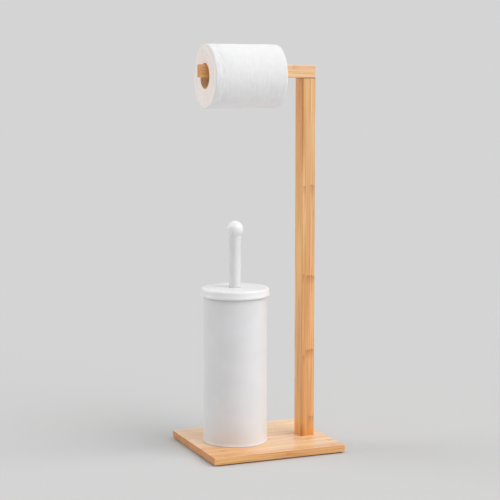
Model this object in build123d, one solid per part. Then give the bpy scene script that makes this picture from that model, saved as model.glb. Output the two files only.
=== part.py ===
from build123d import *
import math
import os

# Toilet roll and brush stand, in millimetres.
# X runs along the long front edge of the board, +Y to the back, +Z up.
# The origin is on the floor, under the centre of the board.

# Base board and its pads
board_length = 230.0
board_depth = 200.0
board_thickness = 12.0
board_edge_radius = 1.0
pad_radius = 7.0
pad_height = 2.0
pad_inset = 18.0
pad_edge_radius = 0.6

# Post and roll arm, joined by a half lap at the top of the post
post_width = 23.0
post_depth = 30.0
post_setback = 78.0
post_inset = 20.5
arm_underside_height = 600.0
arm_height = 21.0
arm_depth = 16.0
arm_length = 201.5
timber_edge_radius = 1.2

# Dowels across the lap
dowel_radius = 3.0
dowel_length = 19.0
dowel_spacing = 11.0
dowel_clearance = 0.05
dowel_end_clearance = 0.5
dowel_end_chamfer = 0.6

# Countersunk screws that hold the post from below
screw_radius = 2.0
screw_length = 42.0
screw_head_radius = 4.0
screw_head_height = 2.2
screw_tip_length = 4.0
screw_spacing = 15.0
screw_clearance = 0.05
screw_board_clearance = 0.3
screw_end_clearance = 1.0
driver_slot_width = 1.0
driver_slot_length = 4.4
driver_slot_depth = 1.3

# Brush holder: a painted steel can with a seamed bottom
holder_inset = 75.0
holder_setback = 100.0
can_radius = 53.0
can_sheet = 0.8
can_curl_radius = 1.2
can_standing_gap = 0.2
seam_sheet = 0.6
seam_height = 4.0
seam_flare = 0.7
seam_clearance = 0.05
bottom_recess = 3.0

# Drip liner inside the can
liner_height = 110.0
liner_wall = 1.6
liner_taper = 3.0
liner_corner_radius = 4.0
liner_rim_width = 1.9
liner_clearance = 0.3

# Lid, a pressed steel cap
lid_radius = 57.0
lid_height = 14.0
lid_top_height = 257.0
lid_sheet = 0.8
lid_corner_radius = 3.5
lid_hem_height = 2.5
lid_seat_gap = 0.3

# Handle above the lid
handle_radius = 9.7
handle_wall = 1.0
handle_gap = 0.2
knob_radius = 14.0
knob_top_height = 367.0
knob_spigot_length = 12.0
plug_length = 32.0
tube_fit = 0.05

# Stem through the lid, with a washer that keeps the lid on it
stem_radius = 5.0
stem_in_plug = 26.0
stem_fit = 0.05
washer_radius = 9.0
washer_thickness = 1.5
washer_gap = 0.2

# Brush head
tip_clearance = 7.0
crown_bristle_length = 18.0
hub_radius = 11.0
hub_length = 72.0
hub_collar_radius = 7.5
hub_collar_length = 12.0
hub_socket_depth = 30.0
backing_thickness = 1.6
backing_fit = 0.05
backing_margin = 3.0
brush_radius = 36.0
strand_width = 1.3
strand_root = 0.6
side_rows = 14
side_strands = 24
crown_rings = 3
crown_ring_pitch = 3.1
crown_splay = 1.9

# Roll and its cardboard core
roll_radius = 52.0
roll_length = 123.0
roll_edge_radius = 1.5
roll_post_gap = 45.5
core_bore_radius = 20.3
core_wall = 1.0
core_rest_gap = 0.3
core_paper_fit = 0.05

# Levels and centres worked out from the sizes above
board_top = pad_height + board_thickness
post_right = board_length / 2 - post_inset
post_left = post_right - post_width
post_front = -board_depth / 2 + post_setback
post_centre_x = (post_left + post_right) / 2
post_centre_y = post_front + post_depth / 2
arm_underside = board_top + arm_underside_height
arm_top = arm_underside + arm_height
arm_centre_y = post_front + arm_depth / 2
lap_face = post_front + arm_depth

holder_x = -board_length / 2 + holder_inset
holder_y = -board_depth / 2 + holder_setback
can_base = board_top + can_standing_gap
can_floor = can_base + bottom_recess + seam_sheet
can_bore = can_radius - can_sheet
liner_floor = can_floor + liner_wall
lid_top = board_top + lid_top_height
lid_ceiling = lid_top - lid_sheet
can_top = lid_ceiling - lid_seat_gap

tube_bottom = lid_top + handle_gap
tube_bore = handle_radius - handle_wall
knob_centre = board_top + knob_top_height - knob_radius
knob_seat = knob_centre - math.sqrt(knob_radius ** 2 - handle_radius ** 2)
washer_top = lid_ceiling - washer_gap
crown_tip = liner_floor + tip_clearance
crown_backing_bottom = crown_tip + crown_bristle_length
hub_bottom = crown_backing_bottom + backing_thickness
hub_top = hub_bottom + hub_length
stem_bottom = hub_top - hub_socket_depth
stem_top = tube_bottom + stem_in_plug
sleeve_bottom = hub_bottom + backing_margin
sleeve_top = hub_top - hub_collar_length - backing_margin

corner_reach = arm_depth / 2 - timber_edge_radius
corner_drop = core_bore_radius - core_rest_gap - timber_edge_radius
roll_axis_z = arm_top - timber_edge_radius - math.sqrt(corner_drop ** 2 - corner_reach ** 2)
roll_right = post_left - roll_post_gap
roll_left = roll_right - roll_length


def block(low, high):
    """A box between two opposite corners."""
    size = [b - a for a, b in zip(low, high)]
    return Pos(*low) * Box(*size, align=(Align.MIN, Align.MIN, Align.MIN))


def rod(radius, bottom, top):
    """A cylinder on the Z axis between two heights."""
    upright = (Align.CENTER, Align.CENTER, Align.MIN)
    return Pos(0, 0, bottom) * Cylinder(radius, top - bottom, align=upright)


def ring(inner, outer, bottom, top):
    """A tube on the Z axis between two heights."""
    return rod(outer, bottom, top) - rod(inner, bottom, top)


def turned(points):
    """A solid turned about Z from (radius, height) points."""
    outline = Polyline([(r, 0, z) for r, z in points], close=True)
    return revolve(make_face(outline), Axis.Z)


def in_holder(part):
    """Moves a part made on the Z axis to the holder's axis."""
    return Pos(holder_x, holder_y, 0) * part


def along_y(radius, start, end, x, z):
    """A cylinder along Y between two depths."""
    return Pos(x, start, z) * Rot(-90, 0, 0) * rod(radius, 0, end - start)


def dowel_centres():
    return [post_centre_x + side * dowel_spacing / 2 for side in (-1, 1)]


def screw_centres():
    return [post_centre_y + side * screw_spacing / 2 for side in (-1, 1)]


def dowel_holes():
    """The blind holes that cross the lap's upright face."""
    half = dowel_length / 2 + dowel_end_clearance
    radius = dowel_radius + dowel_clearance
    height = (arm_underside + arm_top) / 2
    return [along_y(radius, lap_face - half, lap_face + half, x, height) for x in dowel_centres()]


def make_board():
    half_length = board_length / 2
    half_depth = board_depth / 2
    board = block((-half_length, -half_depth, pad_height), (half_length, half_depth, board_top))
    board = fillet(board.edges(), board_edge_radius)
    shank = screw_radius + screw_board_clearance
    head = screw_head_radius + screw_board_clearance
    sink = turned([
        (0, pad_height),
        (head, pad_height),
        (shank, pad_height + screw_head_height),
        (0, pad_height + screw_head_height),
    ])
    for y in screw_centres():
        board -= Pos(post_centre_x, y, 0) * (sink + rod(shank, pad_height, board_top))
    return board


def make_pads():
    """One pad under each corner of the board."""
    pads = {}
    reach_x = board_length / 2 - pad_inset
    reach_y = board_depth / 2 - pad_inset
    for side_y, row in ((-1, "front"), (1, "back")):
        for side_x, column in ((-1, "left"), (1, "right")):
            pad = rod(pad_radius, 0, pad_height)
            pad = fillet(pad.edges().sort_by(Axis.Z)[0], pad_edge_radius)
            pads[f"pad_{row}_{column}"] = Pos(side_x * reach_x, side_y * reach_y, 0) * pad
    return pads


def make_post():
    post = block((post_left, post_front, board_top), (post_right, post_front + post_depth, arm_top))
    post = fillet(post.edges().filter_by(Axis.Z), timber_edge_radius)
    post = fillet(post.edges().group_by(Axis.Z)[-1], timber_edge_radius)
    post -= block((post_left, post_front, arm_underside), (post_right, lap_face, arm_top))
    for hole in dowel_holes():
        post -= hole
    pilot_top = pad_height + screw_length + screw_end_clearance
    for y in screw_centres():
        post -= Pos(post_centre_x, y, 0) * rod(screw_radius + screw_clearance, board_top, pilot_top)
    return post


def make_arm():
    arm_left = post_right - arm_length
    arm = block((arm_left, post_front, arm_underside), (post_right, lap_face, arm_top))
    arm = fillet(arm.edges(), timber_edge_radius)
    for hole in dowel_holes():
        arm -= hole
    return arm


def make_dowels():
    height = (arm_underside + arm_top) / 2
    half = dowel_length / 2
    dowels = []
    for x in dowel_centres():
        dowel = along_y(dowel_radius, lap_face - half, lap_face + half, x, height)
        dowels.append(chamfer(dowel.edges().filter_by(GeomType.CIRCLE), dowel_end_chamfer))
    return Compound(children=dowels)


def make_screws():
    screws = []
    tip = pad_height + screw_length
    for y in screw_centres():
        screw = turned([
            (0, pad_height),
            (screw_head_radius, pad_height),
            (screw_radius, pad_height + screw_head_height),
            (screw_radius, tip - screw_tip_length),
            (0, tip),
        ])
        slot_top = pad_height + driver_slot_depth
        half_width = driver_slot_width / 2
        half_length = driver_slot_length / 2
        for half_x, half_y in ((half_length, half_width), (half_width, half_length)):
            screw -= block((-half_x, -half_y, pad_height), (half_x, half_y, slot_top))
        screws.append(Pos(post_centre_x, y, 0) * screw)
    return Compound(children=screws)


def make_can():
    """The can's wall, with its top edge curled outwards."""
    curl_x = can_bore + can_curl_radius
    curl_z = can_top - can_curl_radius
    wall_bottom = can_base + seam_sheet + seam_clearance
    sheet = Circle(can_curl_radius) - Circle(can_curl_radius - can_sheet)
    mouth = Pos(0, -can_curl_radius) * Rectangle(can_curl_radius, 2 * can_curl_radius)
    curl = Plane.XZ * Pos(curl_x, curl_z) * (sheet - mouth)
    return ring(can_bore, can_radius, wall_bottom, curl_z) + revolve(curl, Axis.Z)


def make_can_bottom():
    """The pressed bottom, with the seam that grips the can's wall."""
    inner = can_bore - seam_clearance
    outer = can_radius + seam_clearance
    foot = outer + seam_sheet + seam_flare
    return turned([
        (0, can_floor),
        (inner, can_floor),
        (inner, can_base + seam_sheet),
        (outer, can_base + seam_sheet),
        (outer, can_base + seam_height),
        (outer + seam_sheet, can_base + seam_height),
        (foot, can_base + seam_sheet),
        (foot - seam_sheet / 2, can_base),
        (inner - seam_sheet, can_base),
        (inner - seam_sheet, can_floor - seam_sheet),
        (0, can_floor - seam_sheet),
    ])


def make_liner():
    rim = can_bore - liner_clearance
    top_radius = rim - liner_rim_width
    base_radius = top_radius - liner_taper
    top = can_floor + liner_height
    liner = turned([
        (0, can_floor),
        (base_radius, can_floor),
        (top_radius, top - liner_wall),
        (rim, top - liner_wall),
        (rim, top),
        (top_radius - liner_wall, top),
        (base_radius - liner_wall, liner_floor),
        (0, liner_floor),
    ])
    outer_edge = liner.edges().group_by(Axis.Z)[0]
    liner = fillet(outer_edge, liner_corner_radius)
    inner_edge = liner.edges().filter_by_position(Axis.Z, liner_floor - 0.01, liner_floor + 0.01)
    return fillet(inner_edge, liner_corner_radius - liner_wall)


def make_lid():
    skirt_bottom = lid_top - lid_height
    cap = rod(lid_radius, skirt_bottom, lid_top)
    cap = fillet(cap.edges().group_by(Axis.Z)[-1], lid_corner_radius)
    hollow = rod(lid_radius - lid_sheet, skirt_bottom, lid_ceiling)
    hollow = fillet(hollow.edges().group_by(Axis.Z)[-1], lid_corner_radius - lid_sheet)
    hem_top = skirt_bottom + lid_hem_height
    hem = ring(lid_radius - 2 * lid_sheet, lid_radius - lid_sheet, skirt_bottom, hem_top)
    return cap - hollow + hem - rod(stem_radius + stem_fit, lid_ceiling, lid_top)


def make_tube():
    return ring(tube_bore, handle_radius, tube_bottom, knob_seat)


def make_knob():
    ball = Pos(0, 0, knob_centre) * Sphere(knob_radius)
    ball -= rod(knob_radius, knob_centre - knob_radius, knob_seat)
    return ball + rod(tube_bore - tube_fit, knob_seat - knob_spigot_length, knob_seat)


def make_plug():
    plug = rod(tube_bore - tube_fit, tube_bottom, tube_bottom + plug_length)
    return plug - rod(stem_radius + stem_fit, tube_bottom, stem_top)


def make_washer():
    """The washer under the lid that lifts it with the brush."""
    return ring(stem_radius + stem_fit, washer_radius, washer_top - washer_thickness, washer_top)


def make_hub():
    """The plastic core of the brush head, with a neck round the stem."""
    neck_bottom = hub_top - hub_collar_length
    hub = turned([
        (0, hub_bottom),
        (hub_radius, hub_bottom),
        (hub_radius, neck_bottom - (hub_radius - hub_collar_radius)),
        (hub_collar_radius, neck_bottom),
        (hub_collar_radius, hub_top),
        (0, hub_top),
    ])
    return hub - rod(stem_radius + stem_fit, stem_bottom, hub_top)


def strand(length):
    """A three-sided strand along +X from the origin."""
    section = Plane.YZ * RegularPolygon(strand_width / math.sqrt(3), 3)
    return extrude(section, length)


def make_side_bristles():
    """Rows of strands round the head, on a sleeve of their backing."""
    inner = hub_radius + backing_fit
    outer = inner + backing_thickness
    bristle = Pos(outer - strand_root, 0, 0) * strand(brush_radius - outer + strand_root)
    height = sleeve_top - sleeve_bottom
    row_pitch = height / side_rows
    step = 360 / side_strands
    strands = []
    for row in range(side_rows):
        level = sleeve_bottom + (row + 0.5) * row_pitch
        for k in range(side_strands):
            turn = step * (k + 0.5 * (row % 2))
            strands.append(Pos(0, 0, level) * Rot(0, 0, turn) * bristle)
    return ring(inner, outer, sleeve_bottom, sleeve_top).fuse(*strands)


def make_crown_bristles():
    """Rings of splayed strands under the head, on a disc of their backing."""
    disc = rod(hub_radius, crown_backing_bottom, hub_bottom)
    root_level = crown_backing_bottom + strand_root
    strands = []
    for number in range(crown_rings + 1):
        radius = number * crown_ring_pitch
        reach = crown_splay * radius
        drop = root_level - crown_tip
        lean = math.degrees(math.atan2(reach - radius, drop))
        length = math.hypot(reach - radius, drop)
        count = max(1, 6 * number)
        for k in range(count):
            place = Rot(0, 0, 360 * k / count) * Pos(radius, 0, root_level)
            strands.append(place * Rot(0, 90 - lean, 0) * strand(length))
    return disc.fuse(*strands)


def on_roll_axis(part):
    """Lays a part made on the Z axis along the roll's axis, from its left end."""
    return Pos(roll_left, arm_centre_y, roll_axis_z) * Rot(0, 90, 0) * part


def make_core():
    return on_roll_axis(ring(core_bore_radius, core_bore_radius + core_wall, 0, roll_length))


def make_paper():
    """The wound paper as one thick ring with softened outer edges."""
    paper = rod(roll_radius, 0, roll_length)
    paper = fillet(paper.edges().filter_by(GeomType.CIRCLE), roll_edge_radius)
    bore = core_bore_radius + core_wall + core_paper_fit
    return on_roll_axis(paper - rod(bore, 0, roll_length))


def make_stand():
    """Every piece, by the name of its file."""
    pieces = {
        "base_board": make_board(),
        "post": make_post(),
        "roll_arm": make_arm(),
        "lap_dowels": make_dowels(),
        "post_screws": make_screws(),
        "can_wall": in_holder(make_can()),
        "can_bottom": in_holder(make_can_bottom()),
        "drip_liner": in_holder(make_liner()),
        "lid": in_holder(make_lid()),
        "handle_tube": in_holder(make_tube()),
        "handle_knob": in_holder(make_knob()),
        "handle_plug": in_holder(make_plug()),
        "brush_stem": in_holder(rod(stem_radius, stem_bottom, stem_top)),
        "lid_washer": in_holder(make_washer()),
        "brush_hub": in_holder(make_hub()),
        "side_bristles": in_holder(make_side_bristles()),
        "crown_bristles": in_holder(make_crown_bristles()),
        "roll_core": make_core(),
        "paper_roll": make_paper(),
    }
    pieces.update(make_pads())
    return pieces


def main():
    os.makedirs("parts", exist_ok=True)
    for name, piece in make_stand().items():
        export_step(piece, f"parts/{name}.step")
    print(f"total height {arm_top:.2f} mm")
    print(f"roll axis at {roll_axis_z:.2f} mm, roll from x {roll_left:.2f} to {roll_right:.2f} mm")
    print(f"knob top to roll {roll_axis_z - roll_radius - board_top - knob_top_height:.2f} mm")


main()
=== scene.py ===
# %% [markdown]
# # Toilet roll and brush stand
# A bamboo stand holds a toilet roll on an arm at the top of its post. A white steel can with a
# lidded toilet brush stands on its board. The solid model of the stand is already made, so this
# lesson loads it as a fixed frame and works on the looks: finishes for the pieces whose shape is
# right, and new pieces where the real object has more shape than the solid model, which are the
# lid, the can's foot, the roll and the bristles. Everything is in metres, X to the right, Y to
# the back and Z up, with the floor at zero.

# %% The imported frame
import math
import random

import bpy
from mathutils import Matrix, Vector, noise


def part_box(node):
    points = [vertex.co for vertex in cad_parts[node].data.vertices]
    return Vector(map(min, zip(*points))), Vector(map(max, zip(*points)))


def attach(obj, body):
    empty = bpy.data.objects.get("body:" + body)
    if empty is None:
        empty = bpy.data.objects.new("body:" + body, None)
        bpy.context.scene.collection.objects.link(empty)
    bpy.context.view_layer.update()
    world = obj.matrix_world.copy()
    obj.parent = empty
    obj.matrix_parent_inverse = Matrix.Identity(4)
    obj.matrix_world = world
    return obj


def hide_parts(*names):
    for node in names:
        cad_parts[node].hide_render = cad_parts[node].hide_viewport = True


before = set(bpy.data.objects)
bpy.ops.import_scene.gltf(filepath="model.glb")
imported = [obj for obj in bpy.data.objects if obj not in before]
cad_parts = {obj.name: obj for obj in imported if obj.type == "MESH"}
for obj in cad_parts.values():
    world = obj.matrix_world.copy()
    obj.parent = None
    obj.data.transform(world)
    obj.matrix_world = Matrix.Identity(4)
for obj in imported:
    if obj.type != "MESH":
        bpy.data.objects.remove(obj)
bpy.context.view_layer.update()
mm = 0.001

# %% [markdown]
# ## The camera
# The photograph was taken from the front left, a little above the middle of the stand. A camera
# is set by where it looks, how far off it stands and how long its lens is. A long lens from two
# and a half metres keeps the post's edges almost parallel, as they are in the photograph. Turning
# the camera by a heading and a tilt is easier to read than an aim constraint, and it leaves
# nothing live in the scene.

# %% Camera
look_at = Vector((0.0446, 0.1405, 0.3140))
camera_distance = 2.4775
heading = math.radians(22.348)
tilt = math.radians(6.582)
lens_length = 101.33
sensor_width = 36

view_line = Vector((
    math.sin(heading) * math.cos(tilt),
    math.cos(heading) * math.cos(tilt),
    -math.sin(tilt),
))
camera_data = bpy.data.cameras.new("camera")
camera_data.sensor_width = sensor_width
camera_data.lens = lens_length
camera = bpy.data.objects.new("camera", camera_data)
camera.location = look_at - camera_distance * view_line
camera.rotation_euler = (math.pi / 2 - tilt, 0, -heading)
bpy.context.scene.collection.objects.link(camera)
bpy.context.scene.camera = camera
print("camera at", [round(value, 3) for value in camera.location])

# %% [markdown]
# ## Colours and nodes
# A paint chart gives colours from 0 to 255, but shaders work with linear light, so one helper
# turns the first into the second. The other helpers add a shader node and plug it in with one
# line each. Written out in full, each node would take three or four lines, and the idea of a
# material would be hard to see.

# %% Helpers for shader nodes
def colour(red, green, blue):
    """A paint chart's colour as the linear colour that a shader takes."""
    linear = [((c / 255 + 0.055) / 1.055) ** 2.4 for c in (red, green, blue)]
    return (*linear, 1.0)


def put(tree, kind, sockets=(), **settings):
    """Adds a node, sets it up, and gives its sockets values or other nodes' outputs."""
    node = tree.nodes.new("ShaderNode" + kind)
    for name, value in settings.items():
        setattr(node, name, value)
    for key, value in dict(sockets).items():
        if isinstance(value, bpy.types.NodeSocket):
            tree.links.new(value, node.inputs[key])
        else:
            node.inputs[key].default_value = value
    return node


def calc(tree, operation, *terms):
    """One step of arithmetic."""
    return put(tree, "Math", enumerate(terms), operation=operation).outputs[0]


def fade(tree, value, start, end, low=0.0, high=1.0):
    """Goes smoothly from low to high while the value goes from start to end."""
    sockets = {0: value, 1: start, 2: end, 3: low, 4: high}
    return put(tree, "MapRange", sockets, interpolation_type="SMOOTHSTEP").outputs[0]


def mixed(tree, amount, first, second, way="MIX"):
    """Two colours mixed by an amount."""
    node = put(tree, "Mix", {0: amount, 6: first, 7: second}, data_type="RGBA", blend_type=way)
    return node.outputs[2]


def tinted(tree, surface, mask, tint):
    """The surface multiplied by a tint where the mask is."""
    return mixed(tree, mask, surface, tint, "MULTIPLY")


def stained(tree, surface, mask, share, stain):
    """The surface with a stain where the mask is, at a share of its full strength."""
    return mixed(tree, calc(tree, "MULTIPLY", mask, share), surface, stain)


def inverse(tree, mask):
    """1 where a mask is 0, and 0 where it is 1."""
    return calc(tree, "SUBTRACT", 1.0, mask)


def split(tree, vector):
    """The X, Y and Z of a vector."""
    return put(tree, "SeparateXYZ", {0: vector}).outputs


def stretched(tree, vector, scale):
    """A place multiplied by a different scale along each axis."""
    return put(tree, "VectorMath", {0: vector, 1: scale}, operation="MULTIPLY").outputs[0]


def speckle(tree, vector, scale=1.0, detail=2.0, rough=0.5):
    """Soft noise from 0 to 1."""
    sockets = {"Vector": vector, "Scale": scale, "Detail": detail, "Roughness": rough}
    return put(tree, "TexNoise", sockets).outputs[0]


def new_group(name, inputs, outputs):
    """An empty node group with named sockets, and its input and output nodes."""
    tree = bpy.data.node_groups.new(name, "ShaderNodeTree")
    for way, sockets in (("INPUT", inputs), ("OUTPUT", outputs)):
        for label, kind in sockets.items():
            tree.interface.new_socket(label, in_out=way, socket_type="NodeSocket" + kind)
    entry = tree.nodes.new("NodeGroupInput").outputs
    leave = tree.nodes.new("NodeGroupOutput").inputs
    return tree, entry, leave


def use(tree, group, sockets):
    """Places a node group and returns its outputs."""
    return put(tree, "Group", sockets, node_tree=group).outputs


def new_material(name, **constants):
    """A material with one Principled shader, whose plain numbers are set on its own sockets."""
    material = bpy.data.materials.new(name)
    material.use_nodes = True
    tree = material.node_tree
    shader = tree.nodes["Principled BSDF"]
    for label, value in constants.items():
        shader.inputs[label.replace("_", " ")].default_value = value
    place = tree.nodes.new("ShaderNodeTexCoord").outputs["Object"]
    return material, tree, shader.inputs, place


def facing(tree):
    """The X, Y and Z of the way that the face looks."""
    return split(tree, tree.nodes["Texture Coordinate"].outputs["Normal"])


def bumped(tree, shader, height, depth, strength):
    """Gives the shader a bump from a height of 0 to 1 that stands for a depth in metres."""
    sockets = {"Strength": strength, "Distance": depth, "Height": height}
    tree.links.new(put(tree, "Bump", sockets).outputs[0], shader["Normal"])


print("helpers ready")

# %% [markdown]
# ## Bamboo
# The timber is glued up from strips of bamboo cane, lacquered clear. Each strip has its own tone,
# fine fibres and a few darker threads run along it, and every 10 to 30 cm it carries a joint of
# the cane, a thin brown line with a darker shadow on one side. A picture of bamboo would repeat
# and stretch, so the pattern is worked out from the place inside the piece: X along the grain, Y
# across the strips and Z through the plies. The same sum then gives the streaks on a long face
# and the dots on a cut end, and one group serves the board, the post and the arm.

# %% The cane joint group
cane_joint, entry, leave = new_group(
    "cane joint",
    {"Distance": "Float", "Line": "Float", "Shadow": "Float"},
    {"Mask": "Float"},
)
shadow_depth = 0.62
side = calc(cane_joint, "ABSOLUTE", entry["Distance"])
thin = fade(cane_joint, side, 0.0, entry["Line"], 1.0, 0.0)
after = calc(cane_joint, "GREATER_THAN", entry["Distance"], 0.0)
shadow = fade(cane_joint, side, 0.0, entry["Shadow"], shadow_depth, 0.0)
tail = calc(cane_joint, "MULTIPLY", after, shadow)
cane_joint.links.new(calc(cane_joint, "MAXIMUM", thin, tail), leave["Mask"])
print("group:", cane_joint.name)

# %% The laminated bamboo group
bamboo, entry, leave = new_group(
    "laminated bamboo",
    {
        "Place": "Vector", "Strip Width": "Float", "Strip Shift": "Float",
        "Ply": "Float", "Ply Shift": "Float", "Joint Spacing": "Float",
        "Strip Contrast": "Float", "Pale": "Color", "Tan": "Color", "Burnt": "Color",
    },
    {"Color": "Color", "Height": "Float", "Roughness": "Float"},
)
place = split(bamboo, entry["Place"])
shifted = calc(bamboo, "ADD", place[1], entry["Strip Shift"])
across = calc(bamboo, "DIVIDE", shifted, entry["Strip Width"])
ply_shifted = calc(bamboo, "ADD", place[2], entry["Ply Shift"])
through = calc(bamboo, "DIVIDE", ply_shifted, entry["Ply"])
strip = put(bamboo, "CombineXYZ", {
    0: calc(bamboo, "FLOOR", across),
    1: calc(bamboo, "FLOOR", through),
}).outputs[0]
lot = put(bamboo, "TexWhiteNoise", {"Vector": strip}, noise_dimensions="3D")
lots = put(bamboo, "SeparateColor", {0: lot.outputs["Color"]}).outputs

longest_slide = 7.0
slid = calc(bamboo, "MULTIPLY_ADD", lots[0], longest_slide, place[0])
cane = put(bamboo, "CombineXYZ", {0: slid, 1: place[1], 2: place[2]}).outputs[0]


def grained(along, sideways, detail=1.0, rough=0.5):
    """Noise drawn out along the cane, with its scale per metre along the grain and across it."""
    drawn_out = stretched(bamboo, cane, (along, sideways, sideways))
    return speckle(bamboo, drawn_out, detail=detail, rough=rough)


drift = grained(5.0, 40.0)
broad = grained(6.0, 380.0, detail=2.0)
streak = grained(9.0, 1100.0, detail=2.0)
fibre = grained(34.0, 3000.0, detail=3.0, rough=0.6)
hue = grained(3.0, 210.0)
thread = grained(5.0, 430.0)
wobble = grained(4.0, 260.0)

tone = calc(bamboo, "MULTIPLY", lots[1], entry["Strip Contrast"])
for layer, share in ((drift, 0.45), (broad, 0.7), (streak, 0.6)):
    tone = calc(bamboo, "MULTIPLY_ADD", layer, share, tone)
surface = mixed(bamboo, fade(bamboo, tone, 0.7, 1.3), entry["Pale"], entry["Tan"])
rosy, golden = (1.03, 0.98, 1.02, 1), (0.97, 1.0, 0.82, 1)
hue_tint = mixed(bamboo, fade(bamboo, hue, 0.35, 0.65), rosy, golden)
surface = tinted(bamboo, surface, 1.0, hue_tint)

off_thread = calc(bamboo, "ABSOLUTE", calc(bamboo, "SUBTRACT", thread, 0.5))
thread_line = fade(bamboo, off_thread, 0.0, 0.05, 1.0, 0.0)
dark_fibre = fade(bamboo, fibre, 0.56, 0.75)
from_glue = calc(bamboo, "PINGPONG", across, 0.5)
glue = fade(bamboo, from_glue, 0.0, 0.03, 1.0, 0.0)
for mask, share in ((thread_line, 0.5), (dark_fibre, 0.22), (glue, 0.28)):
    surface = stained(bamboo, surface, mask, share, entry["Burnt"])

spacing = entry["Joint Spacing"]
joint_wobble, joint_line, joint_shadow = 0.004, 0.0012, 0.016
slot_share = calc(bamboo, "FRACT", calc(bamboo, "DIVIDE", slid, spacing))
from_joint = calc(bamboo, "MULTIPLY", calc(bamboo, "SUBTRACT", slot_share, 0.5), spacing)
strayed = calc(bamboo, "SUBTRACT", wobble, 0.5)
from_joint = calc(bamboo, "MULTIPLY_ADD", strayed, joint_wobble, from_joint)
joint = use(bamboo, cane_joint, {
    "Distance": from_joint, "Line": joint_line, "Shadow": joint_shadow,
})
joint_mask = calc(bamboo, "MULTIPLY", joint["Mask"], fade(bamboo, lots[2], 0.2, 0.9, 0.08, 0.5))
surface = mixed(bamboo, joint_mask, surface, entry["Burnt"])
bamboo.links.new(surface, leave["Color"])

glue_groove, fibre_groove = -0.6, -0.5
height = calc(bamboo, "MULTIPLY_ADD", glue, glue_groove, broad)
height = calc(bamboo, "MULTIPLY_ADD", dark_fibre, fibre_groove, height)
bamboo.links.new(height, leave["Height"])
bamboo.links.new(fade(bamboo, fibre, 0.3, 0.8, 0.34, 0.5), leave["Roughness"])
print("group:", bamboo.name)

# %% [markdown]
# Each timber gets its own material, because its grain runs its own way. A Mapping node turns the
# grain of the post onto the group's X axis. The lacquer is the shader's clear coat, smooth enough
# to mirror the post softly on the board. A cut end is darker than a long face and dotted with the
# cane's open pores. The long faces that look sideways get a tint of their own, and the board is
# warmer along its front and in its left corner, where the real one's strips are more golden.

# %% Timber finishes
burnt_cane = colour(182, 110, 46)
pore_brown = colour(150, 92, 54)
end_tint = (0.94, 0.79, 0.62, 1)
lacquer_roughness = 0.22
grain_depth = 0.00008


def timber(name, turn, end, strips, spacing, contrast, pale, tan, side_tint, sides, coats):
    """A bamboo material. turn brings the grain onto X, and end is the axis that it runs along.
    strips gives the width and shift of strips and of plies, sides the axes that the tinted faces
    look along, and coats the lacquer's share on the other faces and on the tinted ones."""
    material, tree, shader, place = new_material(name, Coat_Roughness=lacquer_roughness)
    grain = put(tree, "Mapping", {"Vector": place, "Rotation": turn}).outputs[0]
    width, shift, ply, ply_shift = strips
    made = use(tree, bamboo, {
        "Place": grain, "Strip Width": width, "Strip Shift": shift,
        "Ply": ply, "Ply Shift": ply_shift, "Joint Spacing": spacing,
        "Strip Contrast": contrast, "Pale": pale, "Tan": tan, "Burnt": burnt_cane,
    })
    looks = facing(tree)
    sideways = [calc(tree, "ABSOLUTE", looks[axis]) for axis in sides]
    most = sideways[0] if len(sideways) == 1 else calc(tree, "MAXIMUM", *sideways)
    on_side = fade(tree, most, 0.75, 0.95)
    surface = tinted(tree, made["Color"], on_side, side_tint)
    on_end = fade(tree, calc(tree, "ABSOLUTE", looks[end]), 0.75, 0.95)
    pores = fade(tree, speckle(tree, place, 520.0, 2.0), 0.45, 0.62)
    end_pores = calc(tree, "MULTIPLY", pores, on_end)
    surface = stained(tree, surface, end_pores, 0.6, pore_brown)
    surface = tinted(tree, surface, on_end, end_tint)
    tree.links.new(made["Roughness"], shader["Roughness"])
    tree.links.new(fade(tree, on_side, 0.0, 1.0, *coats), shader["Coat Weight"])
    bumped(tree, shader, made["Height"], grain_depth, 0.5)
    return material, tree, shader, place, surface, on_side


board_timber, tree, shader, place, surface, on_side = timber(
    "board bamboo", turn=(0, 0, 0), end=0, strips=(0.0105, 0.004, 0.0045, 0.0025),
    spacing=0.19, contrast=0.3, pale=colour(253, 219, 181), tan=colour(242, 196, 152),
    side_tint=(0.84, 0.68, 0.47, 1), sides=(0, 1), coats=(0.45, 0.12))
warm_tint = (0.86, 0.67, 0.44, 1)
strip_back, strip_front = -0.070, -0.095
axes = split(tree, place)
front_strip = fade(tree, axes[1], strip_back, strip_front, 0.0, 0.5)
towards_front = fade(tree, axes[1], 0.0, -0.05)
towards_left = fade(tree, axes[0], 0.01, -0.06)
left_corner = calc(tree, "MULTIPLY", towards_front, towards_left)
warmed = calc(tree, "MAXIMUM", front_strip, left_corner)
warm_top = calc(tree, "MULTIPLY", warmed, inverse(tree, on_side))
surface = tinted(tree, surface, warm_top, warm_tint)
tree.links.new(surface, shader["Base Color"])

arm_timber, tree, shader, place, surface, on_side = timber(
    "arm bamboo", turn=(0, 0, 0), end=0, strips=(0.008, 0.002, 0.0105, 0.003),
    spacing=0.26, contrast=0.3, pale=colour(249, 210, 172), tan=colour(234, 187, 142),
    side_tint=(1.0, 0.85, 0.50, 1), sides=(0,), coats=(0.25, 0.1))
# Painted shade: where the arm runs into the roll's bore, its long faces are tinted darker and more
# orange. This stands in for the shade and warm glow inside the hole.
bore_shade_tint = (0.97, 0.82, 0.54, 1)
bore_shaded, bore_deep = -0.050, -0.085
bore_shade_fade = fade(tree, split(tree, place)[0], bore_shaded, bore_deep)
painted_bore_shade = calc(tree, "MULTIPLY", bore_shade_fade, inverse(tree, on_side))
surface = tinted(tree, surface, painted_bore_shade, bore_shade_tint)
tree.links.new(surface, shader["Base Color"])
print("timber materials:", board_timber.name, arm_timber.name)
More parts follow.
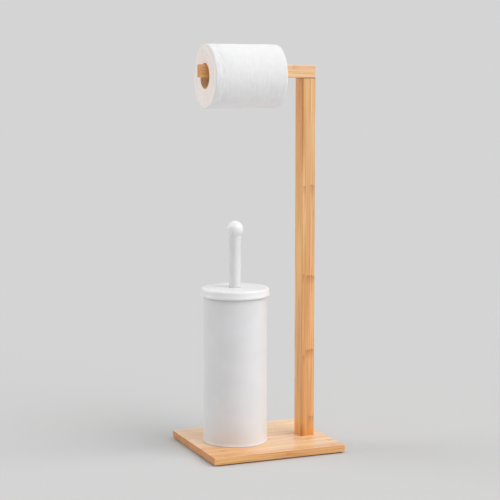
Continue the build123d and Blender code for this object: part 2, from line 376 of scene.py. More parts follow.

# %% [markdown]
# The post is the piece that the eye follows, so its marks are given one by one: the cane joints at
# their heights, which chance would put elsewhere, a brown line along the upper part of its left
# front arris, a stain at the foot of the same arris, and the dark line where the arm rests on it.
# Two tints make it more golden towards the board.

# %% Post finish
post_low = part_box("post")[0]
lap_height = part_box("roll_arm")[0].z
quarter = math.pi / 2
joint_brown, shadow_brown = colour(164, 92, 34), colour(110, 66, 32)
post_timber, tree, shader, place, surface, on_side = timber(
    "post bamboo", turn=(0, quarter, 0), end=2, strips=(0.013, 0.005, 0.0074, 0.0043),
    spacing=9.0, contrast=0.24, pale=colour(248, 202, 156), tan=colour(222, 168, 114),
    side_tint=(1.05, 0.92, 0.58, 1), sides=(0,), coats=(0.2, 0.1))
front_low_tint, side_low_tint = (0.94, 0.83, 0.64, 1), (1.04, 1.07, 1.22, 1)
side_high_tint = (0.97, 0.93, 0.87, 1)
foot_tint = (1.0, 0.88, 0.62, 1)
axes = split(tree, place)
low_tint = mixed(tree, on_side, front_low_tint, side_low_tint)
low_down = fade(tree, axes[2], 0.50, 0.17)
surface = tinted(tree, surface, low_down, low_tint)
high_side = calc(tree, "MULTIPLY", fade(tree, axes[2], 0.40, 0.50), on_side)
surface = tinted(tree, surface, high_side, side_high_tint)
at_foot = fade(tree, axes[2], 0.05, 0.016)
surface = tinted(tree, surface, at_foot, foot_tint)

# Each row: a cane joint's height, its two ends from the post's left edge, and its strength.
post_joints = (
    (0.046, 0.0135, 0.0170, 0.7), (0.046, 0.0185, 0.0215, 0.6), (0.150, 0.0020, 0.0050, 0.6),
    (0.160, 0.0070, 0.0215, 0.6), (0.285, 0.0070, 0.0225, 0.55), (0.287, 0.0015, 0.0045, 0.65),
    (0.435, 0.0015, 0.0060, 0.6), (0.436, 0.0140, 0.0215, 0.5),
)
mark_wobble, mark_line, mark_shadow, mark_softness = 0.006, 0.0026, 0.018, 0.001
ripple = speckle(tree, stretched(tree, place, (420.0, 420.0, 4.0)), detail=1.0)
for height, low, high, depth in post_joints:
    away = calc(tree, "SUBTRACT", height, axes[2])
    strayed = calc(tree, "SUBTRACT", ripple, 0.5)
    away = calc(tree, "MULTIPLY_ADD", strayed, mark_wobble, away)
    mark = use(tree, cane_joint, {"Distance": away, "Line": mark_line, "Shadow": mark_shadow})
    left, right = post_low.x + low, post_low.x + high
    past_left = fade(tree, axes[0], left - mark_softness, left + mark_softness)
    past_right = fade(tree, axes[0], right - mark_softness, right + mark_softness, 1.0, 0.0)
    inside = calc(tree, "MULTIPLY", past_left, past_right)
    marked = calc(tree, "MULTIPLY", mark["Mask"], inside)
    surface = stained(tree, surface, marked, depth, joint_brown)

from_left = calc(tree, "SUBTRACT", axes[0], post_low.x)
from_front = calc(tree, "SUBTRACT", axes[1], post_low.y)
off_arris = calc(tree, "ADD", from_left, from_front)
on_arris = fade(tree, off_arris, 0.0012, 0.0032, 1.0, 0.0)
arris_line = calc(tree, "MULTIPLY", on_arris, fade(tree, axes[2], 0.43, 0.56))
surface = stained(tree, surface, arris_line, 0.45, joint_brown)
by_arris = fade(tree, off_arris, 0.001, 0.007, 1.0, 0.0)
foot_stain = calc(tree, "MULTIPLY", by_arris, fade(tree, axes[2], 0.042, 0.018))
surface = stained(tree, surface, foot_stain, 0.6, joint_brown)
# Painted shade: a dark band on the post just below the arm's underside stands for the shade in the
# gap where the arm rests on it.
line_low, line_high = lap_height - 0.0016, lap_height - 0.0006
painted_gap_shade = fade(tree, axes[2], line_low, line_high)
surface = stained(tree, surface, painted_gap_shade, 0.75, shadow_brown)
tree.links.new(surface, shader["Base Color"])
print("post material:", post_timber.name, "with", len(post_joints), "cane joints set by hand")

# %% [markdown]
# ## Paint, plastic, rubber and steel
# The can, its lid and the handle are powder coated: the powder melts into an even skin with the
# faint ripple of orange peel. One group gives that ripple and a very slight change of tone, and
# each painted material sets its own coarseness. Moulded plastic and rubber use the same group,
# finer and duller.

# %% The skin group
skin, entry, leave = new_group(
    "skin",
    {"Place": "Vector", "Grain": "Float", "Base": "Color", "Shade": "Color"},
    {"Color": "Color", "Height": "Float", "Roughness": "Float"},
)
patch_scale = 22.0
fine = speckle(skin, entry["Place"], entry["Grain"], 2.0, 0.45)
slow = speckle(skin, entry["Place"], patch_scale, 2.0)
skin_tone = mixed(skin, fade(skin, slow, 0.35, 0.7), entry["Base"], entry["Shade"])
skin.links.new(skin_tone, leave["Color"])
skin.links.new(fine, leave["Height"])
skin.links.new(fade(skin, fine, 0.25, 0.75, -0.05, 0.05), leave["Roughness"])
print("group:", skin.name)

# %% Painted, moulded and rubber finishes
def coated(name, base, shade, grain, depth, roughness, **constants):
    """A material with the skin group's ripple, whose grain is its scale, and depth its height."""
    material, tree, shader, place = new_material(name, **constants)
    made = use(tree, skin, {"Place": place, "Grain": grain, "Base": base, "Shade": shade})
    tree.links.new(made["Color"], shader["Base Color"])
    tree.links.new(calc(tree, "ADD", made["Roughness"], roughness), shader["Roughness"])
    bumped(tree, shader, made["Height"], depth, 0.6)
    return material


white, off_white = colour(227, 226, 228), colour(223, 223, 224)
bright, off_bright = colour(236, 236, 238), colour(233, 233, 234)
paint = coated("white powder coat", white, off_white, 850.0, 0.00006, 0.34)
lid_paint = coated("lid paint", bright, off_bright, 850.0, 0.00005, 0.3)
knob_paint = coated("knob paint", bright, off_bright, 1100.0, 0.00003, 0.3)
foot_paint = coated("foot paint", white, off_white, 700.0, 0.00006, 0.38)
liner_plastic = coated(
    "liner plastic", colour(226, 228, 228), colour(219, 222, 223), 300.0, 0.00005, 0.4,
    Subsurface_Weight=0.15)
hub_plastic = coated(
    "hub plastic", colour(232, 233, 233), colour(224, 226, 227), 1500.0, 0.00003, 0.38)
plug_plastic = coated(
    "plug plastic", colour(206, 206, 204), colour(198, 198, 197), 1500.0, 0.00003, 0.45)
rubber = coated(
    "washer rubber", colour(58, 58, 60), colour(48, 48, 50), 2400.0, 0.00003, 0.62)
painted = (paint, lid_paint, knob_paint, foot_paint)
moulded = (liner_plastic, hub_plastic, plug_plastic, rubber)
print("skins:", ", ".join(material.name for material in painted + moulded))

# %% [markdown]
# The stem and the screws are plain steel. A lathe leaves rings round the stem and the screws, so
# their group stretches noise across the axis and squeezes it along it. The lines go into the
# roughness and a small bump.

# %% The turned steel group
turned_steel, entry, leave = new_group(
    "turned steel",
    {"Place": "Vector", "Lines": "Float"},
    {"Color": "Color", "Height": "Float", "Roughness": "Float"},
)
dull_steel, bright_steel = colour(186, 187, 188), colour(208, 209, 210)
lines = put(turned_steel, "CombineXYZ", {0: 4.0, 1: 4.0, 2: entry["Lines"]}).outputs[0]
cuts = speckle(turned_steel, stretched(turned_steel, entry["Place"], lines), detail=3.0)
smear = speckle(turned_steel, entry["Place"], 60.0, 2.0)
wear = calc(turned_steel, "ADD", cuts, smear)
turned_steel.links.new(mixed(turned_steel, cuts, dull_steel, bright_steel), leave["Color"])
turned_steel.links.new(cuts, leave["Height"])
turned_steel.links.new(fade(turned_steel, wear, 0.6, 1.5, 0.22, 0.42), leave["Roughness"])
print("group:", turned_steel.name)

# %% Steel finishes
line_depth = 0.000006


def steel(name, lines_per_metre):
    """A turned steel with its own fineness of lines."""
    material, tree, shader, place = new_material(name, Metallic=1.0)
    made = use(tree, turned_steel, {"Place": place, "Lines": lines_per_metre})
    tree.links.new(made["Color"], shader["Base Color"])
    tree.links.new(made["Roughness"], shader["Roughness"])
    bumped(tree, shader, made["Height"], line_depth, 0.2)
    return material


stem_steel = steel("stem steel", 900.0)
screw_steel = steel("screw steel", 5200.0)
print("steels:", stem_steel.name, screw_steel.name)

# %% [markdown]
# ## Tissue, card and felt
# All three are mats of fibre. A photograph of paper would show its edges at every repeat, so the
# group mixes a coarse and a fine noise, and a close look finds lint where a distant one sees a
# soft, even surface. The core's card is wound as a band, so a seam runs round it in a spiral.

# %% The fibre mat group
fibre_mat, entry, leave = new_group(
    "fibre mat",
    {"Place": "Vector", "Length": "Float", "Base": "Color", "Shade": "Color"},
    {"Color": "Color", "Height": "Float"},
)
coarse = speckle(fibre_mat, entry["Place"], 90.0, 3.0)
scaled = {0: entry["Place"], 3: entry["Length"]}
lint_place = put(fibre_mat, "VectorMath", scaled, operation="SCALE").outputs[0]
lint = speckle(fibre_mat, lint_place, 1.0, 4.0, 0.65)
blotch = fade(fibre_mat, calc(fibre_mat, "ADD", coarse, lint), 0.7, 1.3)
fibre_mat.links.new(mixed(fibre_mat, blotch, entry["Shade"], entry["Base"]), leave["Color"])
fibre_mat.links.new(lint, leave["Height"])
print("group:", fibre_mat.name)

# %% Felt, beech and card
def matted(name, base, shade, length, depth, **constants):
    """A fibrous material, whose length is the scale of its lint, and depth the lint's height."""
    material, tree, shader, place = new_material(name, **constants)
    made = use(tree, fibre_mat, {"Place": place, "Length": length, "Base": base, "Shade": shade})
    tree.links.new(made["Color"], shader["Base Color"])
    bumped(tree, shader, made["Height"], depth, 0.8)
    return material, tree, shader, place, made


felt = matted(
    "pad felt", colour(92, 88, 84), colour(70, 66, 63), 2600.0, 0.0003, Roughness=0.95)[0]
beech = matted(
    "beech dowel", colour(222, 188, 148), colour(205, 165, 120), 900.0, 0.0001, Roughness=0.6)[0]

roll_low, roll_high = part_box("paper_roll")
roll_axis = (roll_low + roll_high) / 2
roll_radius_outside = (roll_high.z - roll_low.z) / 2
card, tree, shader, place, made = matted(
    "core card", colour(248, 220, 184), colour(238, 202, 162), 1500.0, 0.00008, Roughness=0.85)
band_width, seam_width = 0.072, 0.012
seam_brown = colour(150, 112, 78)
to_axis = (0, -roll_axis.y, -roll_axis.z)
core_place = put(tree, "Mapping", {"Vector": place, "Location": to_axis}).outputs[0]
core_axes = split(tree, core_place)
angle = calc(tree, "DIVIDE", calc(tree, "ARCTAN2", core_axes[1], core_axes[2]), 2 * math.pi)
winding = calc(tree, "FRACT", calc(tree, "MULTIPLY_ADD", core_axes[0], 1 / band_width, angle))
seam = fade(tree, calc(tree, "PINGPONG", winding, 0.5), 0.0, seam_width, 1.0, 0.0)
tree.links.new(stained(tree, made["Color"], seam, 0.6, seam_brown), shader["Base Color"])
print("mats:", felt.name, beech.name, card.name)

# %% [markdown]
# Tissue adds its embossing, small pillows in a grid that runs round the roll, and folds across
# the sheet that are deepest near the roll's left end. Both are bumps, because they are far
# shallower than a pixel is wide, and both need the place along and round the roll's axis. On the
# ends of the roll the same place gives the rings of its cut layers, and their brighter, pinker
# white is painted bounce light from the bamboo.

# %% Tissue
tissue, tree, shader, place, made = matted(
    "tissue", colour(237, 237, 238), colour(233, 233, 234), 1900.0, 0.00012,
    Roughness=0.92, Sheen_Weight=0.15)
pillow_length, pillows_round, emboss_depth = 0.0042, 78.0, 0.00017
roll_place = put(tree, "Mapping", {"Vector": place, "Location": -roll_axis}).outputs[0]
axes = split(tree, roll_place)
angle = calc(tree, "ARCTAN2", axes[1], axes[2])
on_end = fade(tree, calc(tree, "ABSOLUTE", facing(tree)[0]), 0.6, 0.9)
on_barrel = inverse(tree, on_end)

wave_along = calc(tree, "SINE", calc(tree, "MULTIPLY", axes[0], 2 * math.pi / pillow_length))
wave_round = calc(tree, "SINE", calc(tree, "MULTIPLY", angle, pillows_round))
pillow = calc(tree, "MULTIPLY", wave_along, wave_round)
embossed = calc(tree, "MULTIPLY", calc(tree, "MULTIPLY", pillow, 0.5), on_barrel)
wrinkle = speckle(tree, stretched(tree, roll_place, (330.0, 26.0, 26.0)), detail=2.0)
off_wrinkle = calc(tree, "ABSOLUTE", calc(tree, "SUBTRACT", wrinkle, 0.5))
fold = calc(tree, "MULTIPLY", fade(tree, off_wrinkle, 0.0, 0.06, -1.0, 0.0), on_barrel)
from_left = calc(tree, "SUBTRACT", axes[0], roll_low.x - roll_axis.x)
fold = calc(tree, "MULTIPLY", fold, fade(tree, from_left, 0.012, 0.045, 2.4, 0.5))
height = calc(tree, "MULTIPLY_ADD", made["Height"], 0.8, calc(tree, "ADD", embossed, fold))
bumped(tree, shader, height, emboss_depth, 0.6)

ring_scale = 900.0
squares = [calc(tree, "POWER", axes[number], 2.0) for number in (1, 2)]
off_axis = calc(tree, "SQRT", calc(tree, "ADD", *squares))
layer_scale = calc(tree, "MULTIPLY", off_axis, ring_scale)
layer_place = put(tree, "CombineXYZ", {0: layer_scale, 1: angle}).outputs[0]
layer_tone = fade(tree, speckle(tree, layer_place, detail=2.0), 0.35, 0.7)
# The cut ends are a brighter, pinker white than the barrel. The rings of the cut layers are real,
# and the warm pink and extra brightness are painted bounce light from the bamboo.
end_rings_with_painted_bounce = mixed(tree, layer_tone, colour(255, 247, 242), colour(240, 227, 219))
end_with_painted_bounce = mixed(tree, on_end, made["Color"], end_rings_with_painted_bounce)
rim_inner, rim_outer = roll_radius_outside - 0.0022, roll_radius_outside - 0.0008
near_rim = fade(tree, off_axis, rim_inner, rim_outer)
tree.links.new(mixed(tree, near_rim, end_with_painted_bounce, made["Color"]), shader["Base Color"])
print("tissue ready")

# %% [markdown]
# ## Bristles
# The brush's bristles are nylon filaments, slightly see-through at their tips. Their material
# stays simple, with a little light passing through and a tone that changes from strand to strand
# by place.

# %% Nylon
nylon, tree, shader, place = new_material(
    "bristle nylon", Roughness=0.38, Subsurface_Weight=0.1)
strand_tone = speckle(tree, place, 140.0, 2.0)
pale_nylon, grey_nylon = colour(236, 238, 240), colour(214, 218, 222)
tree.links.new(mixed(tree, strand_tone, pale_nylon, grey_nylon), shader["Base Color"])
print("nylon ready")

# %% [markdown]
# ## Finishes on the solid model's own pieces
# The timbers, the can's wall, the tube and the hidden parts of the brush have the right shape
# already. Their objects stay, and only the materials in their slots change.

# %% Finishes by piece
finish_of = {
    "base_board": board_timber, "post": post_timber, "roll_arm": arm_timber,
    "lap_dowels": beech, "post_screws": screw_steel,
    "pad_front_left": felt, "pad_front_right": felt,
    "pad_back_left": felt, "pad_back_right": felt,
    "can_wall": paint, "drip_liner": liner_plastic,
    "handle_tube": paint, "handle_knob": knob_paint, "handle_plug": plug_plastic,
    "brush_stem": stem_steel, "lid_washer": rubber, "brush_hub": hub_plastic,
    "roll_core": card,
}
for node_name, material in finish_of.items():
    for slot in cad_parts[node_name].material_slots:
        slot.material = material
print(f"{len(finish_of)} solid pieces finished")

# %% [markdown]
# ## Round pieces
# The lid, the can's foot and the roll are all round. A potter's wheel is the model for the
# helper: a circle is extruded upwards or inwards from ring to ring, and each new ring is widened
# or narrowed to its radius. Spin would do the same from a drawn outline, but with rings each step
# can be read off as a radius and a height.

# %% Helpers for modelling
def start(name, primitive, **settings):
    """Deselects everything, adds a primitive where it belongs and names it after its piece."""
    bpy.ops.object.select_all(action="DESELECT")
    primitive(**settings)
    bpy.ops.object.transform_apply(location=True, rotation=True, scale=True)
    piece = bpy.context.active_object
    piece.name = piece.data.name = name
    return piece


def choose(piece, kind, test):
    """Selects the vertices or edges whose every corner passes a test of its place."""
    bpy.ops.object.mode_set(mode="EDIT")
    bpy.ops.mesh.select_mode(type=kind)
    bpy.ops.mesh.select_all(action="DESELECT")
    bpy.ops.object.mode_set(mode="OBJECT")
    mesh = piece.data
    passed = [test(vertex.co) for vertex in mesh.vertices]
    if kind == "VERT":
        for vertex, good in zip(mesh.vertices, passed):
            vertex.select = good
    else:
        for line in mesh.edges:
            line.select = all(passed[corner] for corner in line.vertices)
    bpy.ops.object.mode_set(mode="EDIT")


def turned(name, centre, rings, sides=144):
    """A round piece on an upright axis, from rings given as radius and height in millimetres."""
    radius, height = rings[0]
    piece = start(
        name, bpy.ops.mesh.primitive_circle_add, vertices=sides, radius=radius * mm,
        location=(centre[0], centre[1], height * mm))
    bpy.ops.object.mode_set(mode="EDIT")
    bpy.ops.mesh.select_all(action="SELECT")
    for next_radius, next_height in rings[1:]:
        rise = (0, 0, (next_height - height) * mm)
        bpy.ops.mesh.extrude_region_move(TRANSFORM_OT_translate={"value": rise})
        grow = next_radius / radius
        bpy.ops.transform.resize(value=(grow, grow, 1), center_override=(*centre, 0))
        radius, height = next_radius, next_height
    bpy.ops.object.mode_set(mode="OBJECT")
    return piece


def round_ring(piece, centre, radius, height, width, segments):
    """Bevels the ring of edges at one radius and height."""
    axis = Vector((*centre, 0))
    near = 0.02 * mm

    def on_ring(place):
        flat = Vector((place.x, place.y, 0)) - axis
        return abs(flat.length - radius * mm) < near and abs(place.z - height * mm) < near

    choose(piece, "EDGE", on_ring)
    bpy.ops.mesh.bevel(offset=width * mm, segments=segments, profile=0.5, affect="EDGES")
    bpy.ops.object.mode_set(mode="OBJECT")


def close_up(piece, angle):
    """Merges doubles, points the faces outwards and smooths the soft edges."""
    bpy.ops.object.mode_set(mode="EDIT")
    bpy.ops.mesh.select_all(action="SELECT")
    bpy.ops.mesh.remove_doubles(threshold=0.004 * mm)
    bpy.ops.mesh.normals_make_consistent(inside=False)
    bpy.ops.object.mode_set(mode="OBJECT")
    bpy.ops.object.shade_smooth_by_angle(angle=math.radians(angle))


def settle(piece, body, slot_name, material, *nodes):
    """Gives a finished piece its material and body, and hides the solid pieces that it stands for.
    The slot name is not used.
    """
    piece.data.materials.clear()
    piece.data.materials.append(material)
    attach(piece, body)
    if nodes:
        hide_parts(*nodes)
    print(f"{piece.name}: {len(piece.data.polygons)} faces on {body}")


print("modelling helpers ready")

# %% [markdown]
# ## The lid
# The lid is pressed from thin sheet: a flat top with a rounded shoulder, a short skirt, and a hem
# at the bottom where the sheet is folded inwards and stands out a little. A thick disc with a
# bevel would look the same from the front, but not with the lid lifted, so the inside is turned
# too, down to the hem's fold.

# %% Lid
can_low, can_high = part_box("can_wall")
holder = ((can_low.x + can_high.x) / 2, (can_low.y + can_high.y) / 2)
stem_hole, lid_radius, lid_top = 5.05, 56.6, 271.0
inner_radius, inner_top = 55.8, 270.2
lid_rings = (
    (stem_hole, inner_top), (stem_hole, lid_top), (15.0, lid_top), (19.0, 270.8),
    (47.5, 270.8), (50.5, lid_top), (lid_radius, lid_top), (lid_radius, 261.2), (57.0, 260.4),
    (57.0, 257.8), (56.4, 257.05), (inner_radius, 257.0), (55.4, 257.5), (55.4, 259.6),
    (inner_radius, 259.9), (inner_radius, inner_top), (stem_hole, inner_top),
)
lid_cap = turned("lid_cap", holder, lid_rings)
round_ring(lid_cap, holder, lid_radius, lid_top, width=3.6, segments=8)
round_ring(lid_cap, holder, inner_radius, inner_top, width=2.8, segments=6)
round_ring(lid_cap, holder, stem_hole, lid_top, width=0.25, segments=2)
close_up(lid_cap, 50)
settle(lid_cap, "lid", "white_paint", lid_paint, "lid")

# %% [markdown]
# ## The can's foot
# The bottom is seamed round the wall, which leaves a low rim that spreads slightly towards the
# board and catches the light in a thin line. Its edges are bevelled, because paint rounds every
# edge that it covers. The two faces of the bottom itself are turned down to a tiny hole, and each
# hole is merged to a point.

# %% Foot
middle, bottom_top, bottom_under = 0.4, 17.8, 17.2
foot_rings = (
    (middle, bottom_top), (52.1, bottom_top), (52.1, 14.9), (53.05, 14.9), (53.05, 18.2),
    (53.55, 18.2), (53.7, 17.2), (54.05, 15.6), (54.35, 14.8), (54.1, 14.2), (51.6, 14.2),
    (51.6, bottom_under), (middle, bottom_under),
)
can_foot = turned("can_foot", holder, foot_rings)
for radius, height, width in ((53.55, 18.2, 0.25), (54.35, 14.8, 0.3), (54.1, 14.2, 0.25)):
    round_ring(can_foot, holder, radius, height, width, segments=3)
near = 0.01 * mm
for level in (bottom_top, bottom_under):
    choose(can_foot, "VERT", lambda place: (
        abs(place.z - level * mm) < near and math.dist(place.xy, holder) < mm))
    bpy.ops.mesh.merge(type="CENTER")
    bpy.ops.object.mode_set(mode="OBJECT")
close_up(can_foot, 40)
settle(can_foot, "holder", "bottom_paint", foot_paint, "can_bottom")

# %% [markdown]
# ## The toilet roll
# The roll is one long strip of tissue, wound some two hundred times. Its ends show the cut edges
# of the layers as fine rings that stand in and out by a fraction of a millimetre, and its outer
# layers give at the edges. Winding a real spiral would need millions of faces, so the roll is
# turned like the lid, with many small steps on its ends and enough rings along the barrel for the
# next step to shape.

# %% Roll blank
roll_length = (roll_high.x - roll_low.x) / mm
roll_radius = roll_radius_outside / mm
paper_bore = 21.4
layers = 44
layer_depth, layer_jitter = 0.18, 0.14
soft_rim = 2.2
barrel_start, barrel_steps = 2.4, 88
dice = random.Random(12)


def end_rings(outwards):
    """The rings of one end, as radius and depth below that end."""
    rings = []
    for number in range(layers + 1):
        radius = paper_bore + (roll_radius - soft_rim - paper_bore) * number / layers
        rings.append((radius, layer_depth + dice.uniform(-layer_jitter, layer_jitter)))
    for inset, depth in ((1.5, 0.22), (0.75, 0.55), (0.22, 1.3), (0.0, barrel_start)):
        rings.append((roll_radius - inset, depth))
    return rings if outwards else rings[::-1]


roll_rings = end_rings(True)
barrel_length = roll_length - 2 * barrel_start
for number in range(1, barrel_steps):
    roll_rings.append((roll_radius, barrel_start + barrel_length * number / barrel_steps))
roll_rings += [(radius, roll_length - depth) for radius, depth in end_rings(False)]
roll_rings.append((paper_bore, roll_rings[0][1]))
tissue_roll = turned("tissue_roll", (0, 0), roll_rings, sides=240)
print(f"{len(roll_rings)} rings, {len(tissue_roll.data.vertices)} points")

# %% [markdown]
# The blank is still as stiff as a pipe. On the real roll the layers wind inwards to a loose end,
# here at the back, and the outer sheet has shallow waves, small folds near the left end and a
# dent from handling in the left edge. Sculpting by hand could give that, but a rule with noise in
# it moves thousands of points at once, and it can be read and changed.

# %% Roll shape
tail_angle = math.radians(200)
sheet_step = 0.35
firm_radius, loose_thickness = 40, 12
folds_from_left, folds_reach = 9, 7
dent_angle = math.radians(168)
dent_depth, dent_width, dent_reach = 0.9, 2.2, 2


def ridges(place, scale_round, scale_along):
    """Noise with one scale round the roll and another along it."""
    drawn_out = (place.x * scale_round, place.y * scale_round, place.z * scale_along)
    return noise.noise(Vector(drawn_out))


def paper_push(place):
    """Where a point of the roll goes: layers wind inwards to the loose end, the sheet waves softly
    and folds near the left end, and the left edge is dented. Depths are in millimetres."""
    radius = math.hypot(place.x, place.y) / mm
    around = math.atan2(place.y, place.x)
    turn = (around - tail_angle) % (2 * math.pi) / (2 * math.pi)
    share = min(1.0, max(0.0, (radius - firm_radius) / loose_thickness))
    wave = noise.noise(place * 38) * 0.22 + ridges(place, 60, 210) * 0.16
    near_left = math.exp(-((place.z / mm - folds_from_left) / folds_reach) ** 2)
    ripple = ridges(place, 90, 300)
    crease = 0.12 * ripple + near_left * (0.12 + 1.1 * ripple)
    inward = sheet_step * turn * share + share * (0.25 + wave + crease)
    inward = max(0.0, inward)
    from_dent = (around - dent_angle) * radius
    at_edge = max(0.0, 1 - place.z / (dent_reach * mm))
    dent = dent_depth * math.exp(-(from_dent / dent_width) ** 2) * at_edge * mm
    return Vector((place.x, place.y, 0)) * (1 - inward / radius) + Vector((0, 0, place.z + dent))


for vertex in tissue_roll.data.vertices:
    vertex.co = paper_push(vertex.co)
tissue_roll.rotation_euler = (0, math.pi / 2, 0)
tissue_roll.location = (roll_low.x, roll_axis.y, roll_axis.z)
bpy.ops.object.transform_apply(location=True, rotation=True, scale=True)
close_up(tissue_roll, 60)
settle(tissue_roll, "paper", "tissue", tissue, "paper_roll")

# %% [markdown]
# ## The brush head
# A tuft of nylon filaments is punched into each hole of the hub and spreads towards its tips. One
# filament is extruded from a small disc that lies just inside the hub, a tuft is made of its
# copies, and a row of tufts is copied up the hub. A hair system would look similar, but it isn't
# a mesh and would be lost in the export.

# %% One filament and one tuft
hub_low, hub_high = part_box("brush_hub")
side_low, side_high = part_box("side_bristles")
crown_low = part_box("crown_bristles")[0]
root_depth = 0.3


def copied(pattern, placements, name):
    """Copies a piece to each placement, each copy with its own mesh, joins them and drops it."""
    bpy.ops.object.select_all(action="DESELECT")
    copies = []
    for placement in placements:
        copy = pattern.copy()
        copy.data = pattern.data.copy()
        copy.data.transform(placement)
        bpy.context.scene.collection.objects.link(copy)
        copy.select_set(True)
        copies.append(copy)
    bpy.context.view_layer.objects.active = copies[0]
    bpy.ops.object.join()
    joined = bpy.context.active_object
    joined.name = joined.data.name = name
    bpy.data.objects.remove(pattern)
    return joined


def filament(name, length):
    """An upright filament on the origin, four-sided, with a pointed tip."""
    radius, tip_share = 0.3, 0.03
    piece = start(
        name, bpy.ops.mesh.primitive_circle_add, vertices=4, radius=radius * mm,
        fill_type="NGON")
    bpy.ops.object.mode_set(mode="EDIT")
    bpy.ops.mesh.select_all(action="SELECT")
    for share in (0.3, 0.3, 0.25, 0.12, tip_share):
        rise = (0, 0, share * length * mm)
        bpy.ops.mesh.extrude_region_move(TRANSFORM_OT_translate={"value": rise})
    bpy.ops.mesh.merge(type="CENTER")
    bpy.ops.mesh.select_all(action="SELECT")
    bpy.ops.mesh.normals_make_consistent(inside=False)
    bpy.ops.object.mode_set(mode="OBJECT")
    return piece


def tuft(name, length, count, spread, root):
    """Filaments side by side at the root, leaning apart towards their tips, of three lengths."""
    shorter_by = 0.035
    placements = []
    for number in range(count):
        around = 2 * math.pi * number / (count - 1)
        out = 0.0 if number == 0 else 1.0
        sideways = Vector((math.cos(around), math.sin(around), 0)) * out
        hinge = Vector((-math.sin(around), math.cos(around), 0))
        lean = Matrix.Rotation(math.radians(spread) * out, 4, hinge)
        shrink = Matrix.Scale(1.0 - shorter_by * (number % 3), 4)
        placements.append(Matrix.Translation(sideways * root * mm) @ lean @ shrink)
    return copied(filament(name + "_filament", length), placements, name)


print("tuft helpers ready")

# %% [markdown]
# The side bristles stand in rows, each turned by half a step from the last, as the holes of a
# real hub are. Copies alone would look machined, so noise sways the strands, and more so the
# further out they are.

# %% Side bristles
side_rows = 14
tufts_in_row = 24
hub_centre = Vector((*holder, 0))
side_reach = (side_high.x - side_low.x) / 2 / mm
root_radius = (hub_high.x - hub_low.x) / 2 / mm - root_depth
side_tuft = tuft("side_tuft", side_reach - root_radius, count=8, spread=3.4, root=0.55)
out_of_hub = Matrix.Translation((root_radius * mm, 0, 0)) @ Matrix.Rotation(math.pi / 2, 4, "Y")
row_piece = copied(side_tuft, [
    Matrix.Rotation(2 * math.pi * number / tufts_in_row, 4, "Z") @ out_of_hub
    for number in range(tufts_in_row)
], "side_row")
pitch = (side_high.z - side_low.z) / side_rows
side_head = copied(row_piece, [
    Matrix.Translation(hub_centre + Vector((0, 0, side_low.z + (row + 0.5) * pitch)))
    @ Matrix.Rotation(math.pi / tufts_in_row * (row % 2), 4, "Z")
    for row in range(side_rows)
], "side_head")
stiff_radius, swaying_length = 14, 22
for vertex in side_head.data.vertices:
    flat = Vector((vertex.co.x, vertex.co.y, 0)) - hub_centre
    reach = max(0.0, flat.length / mm - stiff_radius) / swaying_length
    fine_sway = noise.noise_vector(vertex.co * 900) * 1.1 * mm
    slow_sway = noise.noise_vector(vertex.co * 60) * 1.2 * mm
    vertex.co += (fine_sway + slow_sway) * reach
print(f"{side_head.name}: {len(side_head.data.polygons)} faces")
settle(side_head, "brush", "bristle_nylon", nylon, "side_bristles")

# %% [markdown]
# Under the hub the bristles grow from rings of holes and fan out, so that the brush also reaches
# the lowest part of a bowl. One more tuft is copied from ring to ring, and each ring leans
# further out.

# %% Crown bristles
crown_rings, crown_pitch, crown_fan = 4, 3.1, 0.9
crown_root = hub_low.z + root_depth * mm
crown_length = (crown_root - crown_low.z) / mm
crown_tuft = tuft("crown_tuft", crown_length, count=7, spread=3.0, root=0.45)
crown_places = []
for ring in range(crown_rings):
    radius = ring * crown_pitch
    lean = math.atan2(crown_fan * radius, crown_length)
    tufts_in_ring = max(1, 6 * ring)
    for number in range(tufts_in_ring):
        around = 2 * math.pi * number / tufts_in_ring
        crown_places.append(
            Matrix.Translation(hub_centre + Vector((0, 0, crown_root)))
            @ Matrix.Rotation(around, 4, "Z")
            @ Matrix.Translation((radius * mm, 0, 0))
            @ Matrix.Rotation(math.pi - lean, 4, "Y")
        )
crown_head = copied(crown_tuft, crown_places, "crown_head")
settle(crown_head, "brush", "bristle_nylon", nylon, "crown_bristles")

# %% [markdown]
# ## Floor, world and lamps
# The stand is lit as in a small studio: a soft key lamp from the front right, a weaker one from
# the back left that lightens the can's left edge, a very wide one from straight above that opens
# the shadows on the board, and an even sky. Suns with a wide angle give soft shadows and the same
# level everywhere, so the plain floor runs to the horizon without a seam. To the camera, in
# reflections and through anything clear, the sky and the far floor have one pale shade, and the
# near floor is a little darker, so that its soft shadow reads. The light that sky and floor give
# the object stays at a plain level of its own.

# %% Studio
def seen_rays(tree):
    """1 for the rays that show the background: to the camera, off a shine or through glass."""
    path = tree.nodes.new("ShaderNodeLightPath").outputs
    seen = calc(tree, "MAXIMUM", path["Is Camera Ray"], path["Is Glossy Ray"])
    return calc(tree, "MAXIMUM", seen, path["Is Transmission Ray"])


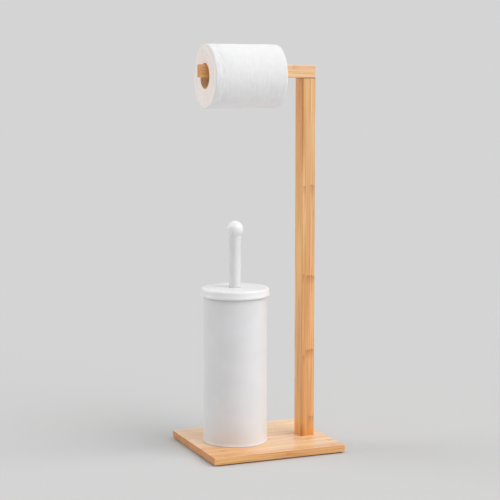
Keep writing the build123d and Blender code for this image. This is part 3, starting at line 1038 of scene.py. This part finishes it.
pale_grey = colour(212, 212, 212)
lighting_grey = colour(219, 219, 219)
floor_size = 60
shadow_ends, backdrop_starts = 0.8, 3.0
floor = start("floor", bpy.ops.mesh.primitive_plane_add, size=floor_size)
floor_material, tree, shader, place = new_material(
    "floor", Roughness=0.9, Specular_IOR_Level=0.2)
floor_tone = speckle(tree, place, 0.8, 1.0)
floor_shade = mixed(tree, floor_tone, colour(200, 200, 200), colour(202, 202, 202))
far = put(tree, "VectorMath", {0: place}, operation="LENGTH").outputs["Value"]
seen = seen_rays(tree)
tree.links.new(mixed(tree, seen, lighting_grey, floor_shade), shader["Base Color"])
far_view = calc(tree, "MULTIPLY", fade(tree, far, shadow_ends, backdrop_starts), seen)
far_shade = put(tree, "Emission", {0: pale_grey, 1: 1.0}).outputs[0]
near_shade = tree.nodes["Principled BSDF"].outputs[0]
both = put(tree, "MixShader", {0: far_view, 1: near_shade, 2: far_shade})
tree.links.new(both.outputs[0], tree.nodes["Material Output"].inputs[0])
floor.data.materials.append(floor_material)

world = bpy.data.worlds.new("studio")
world.use_nodes = True
bpy.context.scene.world = world
tree = world.node_tree
plain_white, sky_strength = (1, 1, 1, 1), 0.23
sky = put(tree, "Background", {0: plain_white, 1: sky_strength})
backdrop = put(tree, "Background", {0: pale_grey, 1: 1.0})
both = put(tree, "MixShader", {0: seen_rays(tree), 1: sky.outputs[0], 2: backdrop.outputs[0]})
tree.links.new(both.outputs[0], tree.nodes["World Output"].inputs[0])


def sun(name, direction, elevation, strength, width):
    """A wide sun from a compass direction, counted from +X towards +Y, in degrees."""
    light = bpy.data.lights.new(name, "SUN")
    light.energy = strength
    light.angle = math.radians(width)
    lamp = bpy.data.objects.new(name, light)
    around, up = math.radians(direction), math.radians(elevation)
    level = Vector((math.cos(around), math.sin(around), 0)) * math.cos(up)
    towards = level + Vector((0, 0, math.sin(up)))
    lamp.rotation_euler = towards.to_track_quat("Z", "Y").to_euler()
    bpy.context.scene.collection.objects.link(lamp)
    return lamp


key = sun("key", direction=-47, elevation=42, strength=2.08, width=62)
rim = sun("rim", direction=150, elevation=25, strength=0.86, width=40)
top = sun("top", direction=0, elevation=90, strength=1.0, width=120)
print("studio ready:", key.name, rim.name, top.name)

# %% [markdown]
# ## The end
# Standard colour management shows colours as they are written.

# %% Finish
bpy.context.scene.view_settings.view_transform = "Standard"
